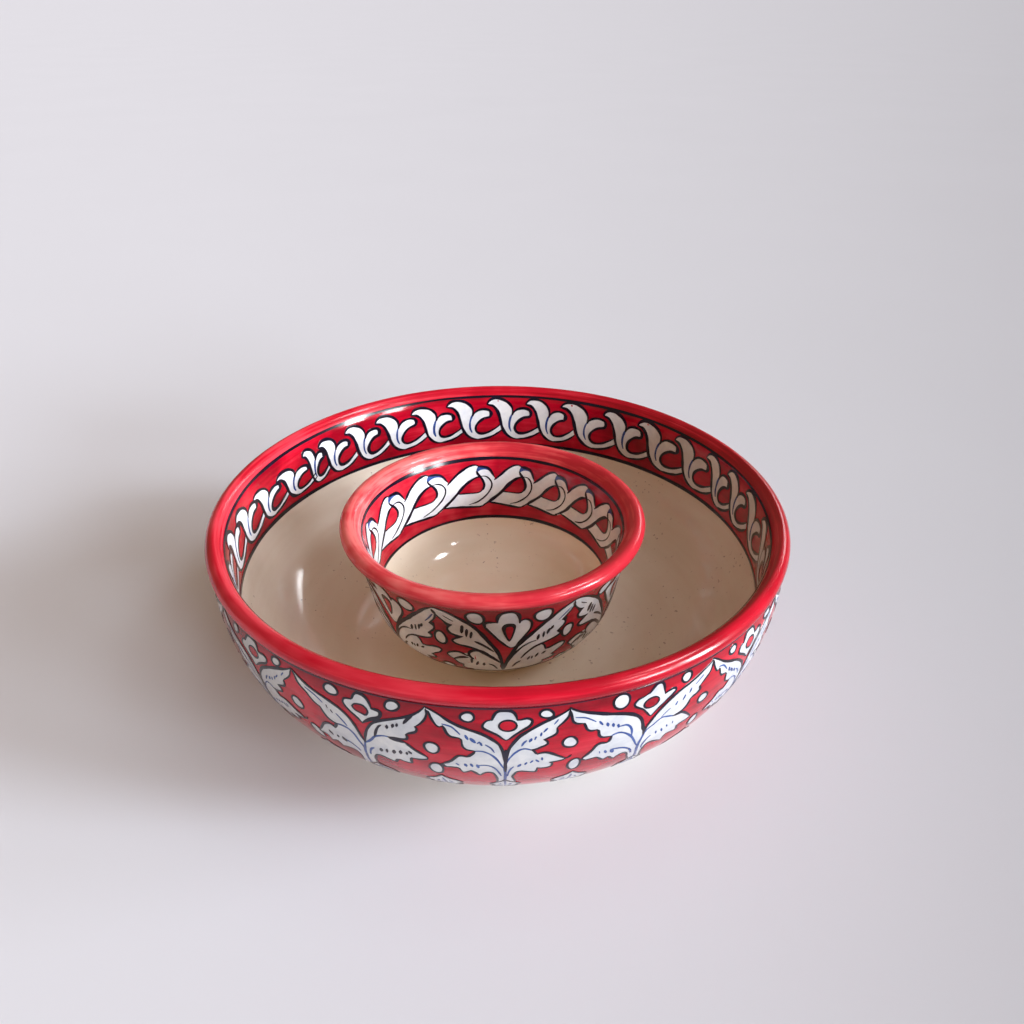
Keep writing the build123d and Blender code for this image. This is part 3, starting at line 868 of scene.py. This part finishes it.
def twist():
    """The big bowl's inner motif: a white strand that curls over the next."""
    left = st(1.35, -9.6, 6.1, -8.2, 6.6, -6, 7.2, -4.2, 8.8, -2.7, 11, -1.6, 14, -0.9, 17, -0.3, 20, 0.4,
        23, 1.6, 25.8, 3.4, 28.4, 5.5, 30.2, 8, 31.3, 10.5, 31.7)
    tail = st(0.95, 10.5, 31.7, 14, 31.4, 18, 30.5, 22, 28.8, 25, 26.8, 27.4, 24.8)
    top = st(1.15, -9.6, 5.8, -8.5, 4, -7, 2.8, -5, 2.2, -2, 2.2, 1, 2.9, 3.8, 4.3, 6, 6.3, 7.4, 8.6, 7.7,
        10.8, 7.3, 13.2)
    hook = st(1.3, 7.5, 13.8, 8.4, 11.9, 10.4, 10, 12.5, 9.1, 15, 8.8, 17.5, 9.1, 19.3, 10, 20.2, 11.5,
        20.2, 13.1, 19.4, 14.6, 17.8, 15.1, 15.8, 15.5, 13.8, 16.6, 11.8, 18.3, 10.2, 20.3, 9.3, 22.5, 9.4,
        24.8, 10.5, 26.5, 12.3, 27.3, 15, 27.2, 18, 26.3, 21, 24.7, 24, 22.8, 26.4, 20.8)
    inner = st(1.1, 7.2, 13.4, 6.2, 16, 5.6, 18.5, 5.4, 21, 5.6, 23.5, 6.5, 26)
    end = st(1.6, 19.3, 10, 20.2, 11.5, 20.2, 13.1, 19.4, 14.6)
    return dict(white=[chain(top, hook, tail, left)], navy=[left, tail, top, hook, end], blue=[inner])


TWIST_PITCH = 10.89  # degrees from the traced strand's tip to the next one's
TWIST_TIP, TWIST_FOOT = -8.2, 31.7  # mm, where its tip is and how far down it stands


def chip_inside():
    rng = np.random.default_rng(11)
    # degrees round the bowl of each strand's tip; the first is the traced one
    tips = [93.4, 82.5, 72.4, 60.5, 50, 38, 26.6, 17.8, 8.2]
    seen_left = [171.6, 160.5, 149.9, 143.7, 135, 125.6, 115, 104.5]
    hidden = 17  # strands out of sight, evenly spread
    gap = (8.2 + 360 - 171) / hidden
    tips += [8.2 - gap * i + rng.uniform(-0.6, 0.6) for i in range(1, hidden)] + [t - 360 for t in seen_left]
    tips.append(tips[0] - 360)
    units = []
    for k in range(len(tips) - 1):
        scale = (tips[k] - tips[k + 1]) / TWIST_PITCH
        motif = twist()
        amount, phase = (0.0 if k == 0 else rng.uniform(0.3, 0.7)), rng.uniform(0, 6.28)
        # the strands stand lower on the left of the bowl
        squat = np.interp(tips[k] % 360, [100, 106, 115, 126, 135, 144, 150, 160, 172, 190],
                          [1, 0.98, 0.92, 0.93, 0.92, 0.87, 0.86, 0.72, 0.78, 1])

        def hand(p):
            q = np.asarray(p, float).copy()
            q[:, 0] = (q[:, 0] - TWIST_TIP) * scale
            q[:, 1] = TWIST_FOOT - (TWIST_FOOT - q[:, 1]) * squat
            return bend(q, amount, amount, phase, 36)

        offset = math.radians(90 - tips[k]) * CHIP_INNER.ref
        units.append((offset, painted(motif, hand, rng, k == 0, 1.6)))
    lay("chip_inside", CHIP_INNER, "chip", units, CHIP_RED, WHITE)
    ring("chip_inside_low_line", CHIP_INNER, CHIP_INNER.length - 1.1, 2.2, "chip", NAVY, rng)
    ring("chip_inside_lip_line", CHIP_INNER, 0.4, 2.3, "chip", NAVY, rng)


def dip_palmette():
    """The small bowl's outer motif."""
    l_edge = st(1.6, -0.3, 54.5, -0.9, 45.6, -2.1, 39.2, -4.2, 33.8, -7.4, 28.6, -10.5, 23.4, -13.6, 18.6,
        -17.6, 14, -21.7, 10.6, -25.6, 7.4, -29.5, 4.9, -33.5, 3.6, -35.5, 4)
    ul = edge([(0.8, -35.7, 6.2, -35.4, 8, -34, 10.3, -32.1, 13, -30.1, 15.1, -28.4, 16.2, -26.7, 16.6),
        (1.1, -27.9, 17.5, -29.3, 19.4, -29.5, 21.3, -28.4, 23.2, -26.3, 24.2, -23.7, 24.8, -21.6, 24.8),
        (1.0, -23.7, 25.9, -26.4, 27.3, -27.7, 28.9, -26.4, 30.5, -23.8, 31.4, -20.1, 32, -16.4, 32.9,
        -13.3, 34.5, -10.2, 36.9, -7, 39.8, -3.8, 42.8, -1.3, 45.6)])
    ll_top = st(1.5, -1.6, 44.9, -5.4, 40.8, -8.6, 37.8, -11.7, 35.4, -14.3, 34.4, -17, 35, -18.8, 36.5,
        -19.1, 38.5, -18.1, 40.5, -16.8, 41.6)
    ll = edge([(0.9, -18.7, 39.8, -21.2, 38.9, -23.5, 37.5, -26.7, 37.3, -30, 38.5, -32.1, 40.4, -30.8,
        42.3, -28.5, 44), (0.9, -27.4, 45.8, -26.1, 47.4, -23.4, 48.4), (0.9, -24.1, 51.3, -22.8, 53.9,
        -18.8, 54.2), (0.9, -17.8, 56.2, -13.8, 56.5, -10.9, 56.4), (0.9, -8.6, 56.9, -4.6, 57.2, -1.7,
        57.8, 0, 58.6)])
    r_edge = st(1.7, 0.3, 54.5, 0.9, 48.9, 2.1, 43.1, 4.1, 38.2, 6.4, 33.2, 9.5, 29.1, 13.2, 25.2, 17.3,
        21.1, 21.3, 16.7, 25.4, 12.9, 29.3, 9, 32.7, 6.2, 35.6, 4.3)
    ur = edge([(0.8, 35.9, 5.5, 36.7, 8.5, 36, 12.1, 34.6, 14.9, 32.8, 17.1, 31.5, 18.6), (1.0, 33, 19.4,
        34.1, 21.3, 33.3, 23.5, 31.4, 25.4, 29.7, 26.8), (1.0, 31.3, 28.1, 32, 29.3, 30.1, 30.6, 27, 31.6,
        23.3, 32.5, 19.1, 33.6, 17, 34.5, 14.4, 36.4, 12, 38.9, 9.7, 42.2)])
    midrib = st(0.85, 0.9, 49.6, 2.2, 44.9, 4.3, 40.5, 6.9, 36.3, 10.1, 32.8, 13.7, 30.6, 17.4, 29.7)
    lr = edge([(1.0, 21.2, 33.6, 22.7, 34.7, 23.5, 36.5, 24.1, 38.5), (0.9, 27.8, 37.9, 31.5, 36.8, 34.7,
        36.7, 36.7, 38, 35.5, 40.4, 32.4, 42.3, 30.4, 43.8, 28.8, 44.6), (1.0, 31, 46.4, 30, 48.2, 26.3,
        49.2, 24, 49.1), (0.9, 24.9, 52.3, 21.7, 54.8, 17.2, 55.4), (0.9, 15.5, 56.4, 10.3, 56.6, 8, 56.5),
        (0.9, 5.8, 57.2, 2.3, 57.7, 0, 58.6)])
    flower = edge([(1.4, -3.4, 12.2, -3.3, 7.6, -2, 4.5, 0, 3, 2.5, 2.6, 4.9, 3.7, 6.5, 6.2, 7.3, 9.7, 7.5,
        13.6), (1.0, 8.2, 11.9, 9.8, 10.9, 11.8, 11.7, 13.4, 13.8, 14, 16.9, 13.4, 20, 11.9, 22.9, 10,
        25.8, 7.9, 29.1, 6.4, 31.6, 4.9, 32.5, 3.4, 32.6), (1.0, 1.4, 31.1, -0.5, 29.1, -3.2, 25.8, -5.8,
        22.1, -8.3, 18.4, -9.8, 15.6, -9.5, 13.4, -8.1, 12.1, -5.7, 12, -3.4, 12.2)])
    white = [chain(l_edge, *ul), chain(ll_top[1][:8], *ll, path(0, 58.6, -0.3, 54.5)), chain(r_edge, *ur,
        path(9.7, 42.2, 1.2, 52.5)), chain(path(0.6, 53, 9.7, 42.2), path(9.7, 42.2, 12, 38.9, 14.4, 36.4,
        17, 34.5, 21.2, 33.6), *lr, path(0, 58.6, 0.3, 54.5)), chain(*flower), path(-23.6, 38.2, -16, 36.5,
        -15.2, 44.2, -23.2, 46.9), path(-14.2, 43, -10.5, 43, -10.5, 49, -14.2, 49)]
    dark = [chain(path(2.7, 13.4, 4.8, 14, 5.8, 15.9, 5.6, 19.7, 4.8, 23.4, 3.8, 26.5, 2.8, 27.8),
        path(2.8, 27.8, 1.8, 26.8, 0.3, 23.4, -0.8, 19.9, -1.3, 17, -0.6, 14.8, 0.8, 13.6, 2.7, 13.4)),
        path(-31.4, 14.6, -30.5, 16.4, -29, 18.8, -26.4, 16.5), path(-27.3, 24.3, -25.3, 26, -21, 24.8,
        -23.7, 24.3), path(31.5, 18.6, 32.5, 17.1, 34.6, 17.8, 34.5, 20.3, 33.2, 19.7), path(29.7, 26.8,
        31.6, 26.4, 32.7, 27.6, 31.7, 28.9)]
    red = [chain(path(2.9, 16, 4.1, 16.6, 4.5, 18.6, 4.1, 21.8, 3.4, 24.8, 2.8, 26.1), path(2.8, 26.1, 2.1,
        24.8, 1.2, 21.6, 0.7, 18.6, 1.2, 16.6, 2.9, 16))]
    navy = [l_edge, r_edge, *ul, ll_top, *ll, *ur, *lr, *flower, midrib, st(1.3, -5.7, 12, -8.3, 12.1,
        -9.9, 13.7, -9.4, 16.2), st(1.2, -28.5, 44, -25.4, 42, -22.6, 41.1, -19.9, 40.9), st(1.5, -21.2,
        16.2, -21.5, 19.1, -22, 22), st(1.1, -19, 18.8, -19.6, 24.5), st(1.2, -16.6, 20.6, -17.4, 25.2),
        st(1.0, -15.2, 27.7, -11.6, 29.8, -8.5, 32.2, -5.5, 35), st(0.5, -30.2, 9.7, -27.9, 11.6, -25.4,
        13.4), st(1.2, -17.8, 41.5, -18.2, 45.8),
        st(1.2, -14.4, 44.2, -15.5, 47.7), st(1.5, -11.1, 45.4, -11.2, 47.7), st(0.9, -8.2, 46, -5.9, 47.6,
        -4.5, 50.1, -3.6, 53), st(1.1, 18.7, 25.8, 18.2, 29.4), st(1.1, 21.5, 24.4, 21.4, 28.3), st(1.2,
        24.5, 22.9, 23.6, 26.7), st(1.3, 26.6, 21.4, 25.4, 23.8), st(1.3, 14.8, 42.2, 13.9, 44.5), st(0.9,
        16.4, 42.2, 16.3, 44.5),
        st(1.1, 19.7, 40.7, 18.4, 43.4), st(1.2, 24.3, 40.6, 22.2, 42),
        st(0.9, 9.6, 44.9, 7.2, 46.9, 5.4, 50.5),
        st(0.8, 9.7, 42.2, 12, 38.9, 14.4, 36.4, 17, 34.5, 21.2, 33.6)]
    blue = [st(0.6, 35, 10.3, 32.2, 14.3, 29.2, 17.9)]
    dots = [(-14.1, 8.5, 4.5, 5), (19.4, 9.7, 5, 5), (36.7, 28.7, 3.3, 4.7), (37.9, 53, 3.7, 3.5)]
    return dict(white=white, dots=dots, navy=navy, blue=blue, red=red, dark=dark, tips=(-35.5, 35.9))


def dip_outside():
    rng = np.random.default_rng(19)
    count, ref = 7, DIP_OUTER.ref
    centres = [math.radians(360 / count * k + 3.4 * math.sin(2 * math.pi * k / count)) * ref
               for k in range(count + 1)]
    pitch = np.diff(centres)
    units = []
    for k in range(count):
        motif = dip_palmette()
        left, right = -pitch[k - 1] / 2, pitch[k] / 2
        amount, phase = (0.0 if k == 0 else rng.uniform(0.3, 0.7)), rng.uniform(0, 6.28)

        def hand(p):
            return bend(stretch(p, motif["tips"], left, right), amount, amount, phase, 58)

        units.append((centres[k], painted(motif, hand, rng, k == 0, 1.35, 1.3)))
    lay("dip_outside", DIP_OUTER, "dip", units, DIP_RED, WHITE, red_lift=0.24, grid=1.6)
    ring("dip_outside_foot_line", DIP_OUTER, DIP_FOOT_LINE, 1.2, "dip", DARK, rng)
    # a thin dark ring in the crease under the lip: partly a painted line, partly painted shade
    ring("dip_outside_lip_line_and_shade", DIP_OUTER, 0.5, 0.5, "dip", DARK, rng, 0.2, 2.2)


def plait():
    """The small bowl's inner motif: two white strands plaited round a red eye."""
    rise = st(1.0, -24.2, 14.8, -22.5, 13, -20.5, 10.8, -18, 8.5, -15, 6.3, -12.5, 5.1, -10.3, 4.9, -8.3, 5.7)
    fall = st(1.0, -8.3, 5.8, -4, 6.3, -1, 7, 1, 8.4, 2.5, 10.2, 4.4, 12.9)
    wedge = chain(path(-9.9, 9.4, -9.9, 8, -8.6, 6.1, -7.5, 5.8, -4, 6.2, -1, 6.8, 1, 8.2, 2.5, 10.2, 4.2,
        12.6), path(4.2, 12.6, 2, 10.5, 0.2, 9, -2, 8.2, -4.5, 8, -7, 8.4, -9.2, 9.5))
    cut = st(1.1, -9.8, 9, -9, 10.6, -7.2, 12.4, -5.5, 14.4, -4.2, 17, -4, 19, -4.7, 21)
    eye = chain(path(-19.6, 21.8, -17, 18.6, -14, 15.6, -11, 13.4, -8.5, 12.6, -6.8, 13.3, -5, 16, -4.6,
        18.5, -5.5, 20.8, -7.5, 22.3, -10.5, 22.9, -15, 22.7, -19.6, 21.8))
    over = st(1.2, -8.5, 12.6, -11, 13.3, -14, 15.4, -17, 18.4, -20, 22.1, -22.8, 25.2, -25.6, 27.6, -28.6,
        29.8, -31, 31.1)
    bottom = st(0.95, -27.2, 29.5, -24.5, 30, -19, 31, -14, 31.8, -9, 32.2, -6, 31.7, -4, 31.1)
    inner = st(0.65, -6, 12.2, -3, 12.4, -0.5, 13.5, 1.5, 15.5, 2.3, 17.7, 1.6, 20.3, -0.8, 23.3, -4, 25.8,
        -8, 28, -11, 29.2, -14.5, 30.2)
    white = chain(rise, fall, path(4.4, 12.9, 6, 20, 4, 25, 0.5, 29.2, -3, 30.9), path(-3, 30.9, -6, 31.7,
        -9, 32.2, -14, 31.8, -19, 31, -24.5, 30, -27.2, 29.4), path(-27.2, 29.4, -25.5, 27, -24.4, 22,
        -24.2, 14.8))
    return dict(white=[white], navy=[rise, cut, over, bottom, inner, fall], red=[eye], wedge=wedge)


PLAIT_PEAK = -10.3  # mm, where the traced link is highest
PLAIT_LEFT, PLAIT_RIGHT = 13.9, 14.7  # mm from there to its ends
LEFT_SHARE, RIGHT_SHARE = 0.57, 0.43  # of the room between two peaks


def dip_inside():
    rng = np.random.default_rng(23)
    # degrees round the bowl of each link's peak; the first is the traced one
    peaks = [99.9, 77.9, 58.1, 37.8, 18.5]
    hidden = 9  # links out of sight, evenly spread
    gap = (18.5 + 360 - 178) / hidden
    peaks += [18.5 - gap * i + rng.uniform(-0.8, 0.8) for i in range(1, hidden)]
    peaks += [178 - 360, 153.8 - 360, 127.4 - 360]
    peaks.append(peaks[0] - 360)
    units = []
    for k in range(len(peaks) - 1):
        motif = plait()
        before = peaks[k - 1] - peaks[k] if k else peaks[-2] - peaks[-1]
        after = peaks[k] - peaks[k + 1]
        to_mm = math.radians(1) * DIP_INNER.ref
        amount, phase = (0.0 if k == 0 else rng.uniform(0.2, 0.5)), rng.uniform(0, 6.28)

        def hand(p):
            q = np.asarray(p, float).copy()
            x = q[:, 0] - PLAIT_PEAK
            room_left, room_right = before * to_mm * LEFT_SHARE, after * to_mm * RIGHT_SHARE
            q[:, 0] = np.where(x < 0, x * before * to_mm * LEFT_SHARE / PLAIT_LEFT,
                               x * after * to_mm * RIGHT_SHARE / PLAIT_RIGHT)
            # the bends fade out at the ends, where the next link joins
            free = np.clip(np.minimum(q[:, 0] + room_left, room_right - q[:, 0]) / 4, 0, 1)
            r = bend(q, amount, amount, phase, 34)
            return q + (r - q) * free[:, None]

        out = painted(motif, hand, rng, k == 0, 1.5, 1.0)
        out["blue"] = [hand(motif["wedge"])]
        units.append((math.radians(90 - peaks[k]) * DIP_INNER.ref, out))
    lay("dip_inside", DIP_INNER, "dip", units, DIP_RED, WHITE)
    ring("dip_inside_low_line", DIP_INNER, DIP_INNER.length - 0.9, 1.8, "dip", NAVY, rng)
    ring("dip_inside_lip_line", DIP_INNER, 0.9, 2.0, "dip", NAVY, rng)


chip_outside()
chip_inside()
dip_outside()
dip_inside()


# ---- floor, light and camera

EYE = (0.007093, -0.387804, 0.335678)
TILT = math.radians(58.317)
FLOOR_HALF, FLOOR_ALBEDO = 40.0, 0.7
# painted light on the floor, as the photo shows it: its tone in the middle, lost towards the right, lost at
# both sides
PAINTED_LIGHT_MIDDLE, PAINTED_LIGHT_ACROSS, PAINTED_LIGHT_SIDES = 1.0474, 0.1509, 0.0528
FOCAL = 1.66  # the lens's focal length over half the picture
WINDOW_WIDTH = 14  # degrees, one patch of the window
WINDOW_LIGHT, WINDOW_COLOUR = 1.1468, (0.767, 0.849, 1.0)
GLINT_FAR = 3.0  # metres


def pale_floor():
    """A wide pale floor with painted light, a little lighter on the left than on the right, as in the photo.
    """
    half = FLOOR_HALF
    mesh = bpy.data.meshes.new("floor")
    corners = [(-half, -half, 0), (half, -half, 0), (half, half, 0), (-half, half, 0)]
    mesh.from_pydata(corners, [], [(0, 1, 2, 3)])
    n = Nodes("floor")
    x, y, _ = n.split(n.coords)
    # u is how far across the photo a place on the floor shows, worked out from fixed numbers, so the tone
    # stays where it is on the floor when the view changes
    away = n.add(y, -EYE[1])
    depth = n.add(n.mul(away, math.sin(TILT)), EYE[2] * math.cos(TILT))
    depth = n.at_least(depth, 0.1)
    u = n.math("DIVIDE", n.mul(n.sub(x, EYE[0]), FOCAL), depth)
    u = n.math("MINIMUM", n.at_least(u, -1.2), 1.2)
    # painted light and shade: lighter on the left, darker towards the right and at both sides
    tone = n.sub(PAINTED_LIGHT_MIDDLE, n.mul(u, PAINTED_LIGHT_ACROSS))
    tone = n.sub(tone, n.mul(n.mul(u, u), PAINTED_LIGHT_SIDES))
    cloud = n.noise(n.coords, 3.0, 2.0)
    tone = n.mul(tone, n.add(0.985, n.mul(cloud, 0.03)))
    pale = (FLOOR_ALBEDO, FLOOR_ALBEDO, FLOOR_ALBEDO, 1.0)
    colour = n.mix(1.0, pale, n.combine(tone, tone, tone), "MULTIPLY")
    mesh.materials.append(n.finish(colour, 0.9, 0.0))
    obj = place("floor", mesh)


def towards(azimuth, elevation):
    a, e = math.radians(azimuth), math.radians(elevation)
    return Vector((math.cos(e) * math.cos(a), math.cos(e) * math.sin(a), math.sin(e)))


def window_patch(number, azimuth, elevation, weight):
    """One patch of a wide soft window, far away; weight is its share of the light on the floor."""
    light = bpy.data.lights.new("window_%d" % number, "SUN")
    light.angle = math.radians(WINDOW_WIDTH)
    light.energy = WINDOW_LIGHT * weight / math.sin(math.radians(elevation))
    light.color = WINDOW_COLOUR
    obj = place(light.name, light)
    obj.rotation_euler = towards(azimuth, elevation).to_track_quat("Z", "Y").to_euler()
    obj.visible_glossy = False


def glint(name, azimuth, elevation, width, height, radiance, colour):
    """A pane seen only as a reflection in the glaze; width and height in degrees."""
    light = bpy.data.lights.new(name, "AREA")
    light.shape = "RECTANGLE"
    light.size, light.size_y = (2 * GLINT_FAR * math.tan(math.radians(v / 2)) for v in (width, height))
    light.energy = radiance * 4 * light.size * light.size_y
    light.color = colour
    obj = place(name, light)
    way = towards(azimuth, elevation)
    obj.location = Vector((0, 0, 0.05)) + way * GLINT_FAR
    obj.rotation_euler = way.to_track_quat("Z", "Y").to_euler()
    obj.visible_diffuse = False


def room_light(colour, strength):
    world = bpy.data.worlds.new("room")
    world.use_nodes = True
    bpy.context.scene.world = world
    back = world.node_tree.nodes["Background"]
    back.inputs["Color"].default_value = colour
    back.inputs["Strength"].default_value = strength


def camera():
    data = bpy.data.cameras.new("camera")
    data.sensor_width, data.lens = 36.0, 29.883
    data.clip_start, data.clip_end = 0.01, 100.0
    obj = place("camera", data)
    obj.location = EYE
    obj.rotation_euler = (TILT, 0, 0)
    bpy.context.scene.camera = obj


PALE_DAY, BLUE_DAY = (0.94, 0.97, 1.0), (0.92, 0.96, 1.0)
# azimuth, elevation and share of the light on the floor
WINDOW = ((-30, 12, 0.288), (-50, 12, 0.316), (-12, 20, 0.609), (5, 20, 0.220), (-12, 28, 0.309),
          (-12, 50, 0.141), (-30, 50, 0.161), (-50, 50, 0.126), (-30, 70, 0.067), (45, 70, 0.052))

pale_floor()
room_light((1.0, 0.693, 0.484, 1.0), 0.3222)
for number, (azimuth, elevation, weight) in enumerate(WINDOW):
    window_patch(number, azimuth, elevation, weight)
glint("pane_low", -20, 11, 9, 21, 70.0, PALE_DAY)
glint("pane_left", -39, 9, 9, 15, 38.0, PALE_DAY)
glint("pane_high", -4, 53, 10, 7, 36.0, BLUE_DAY)
glint("pane_side", -38, 40, 5, 5, 30.0, BLUE_DAY)
glint("pane_back", 52, 23, 26, 3, 13.0, BLUE_DAY)
camera()
bpy.context.scene.view_settings.view_transform = "Standard"
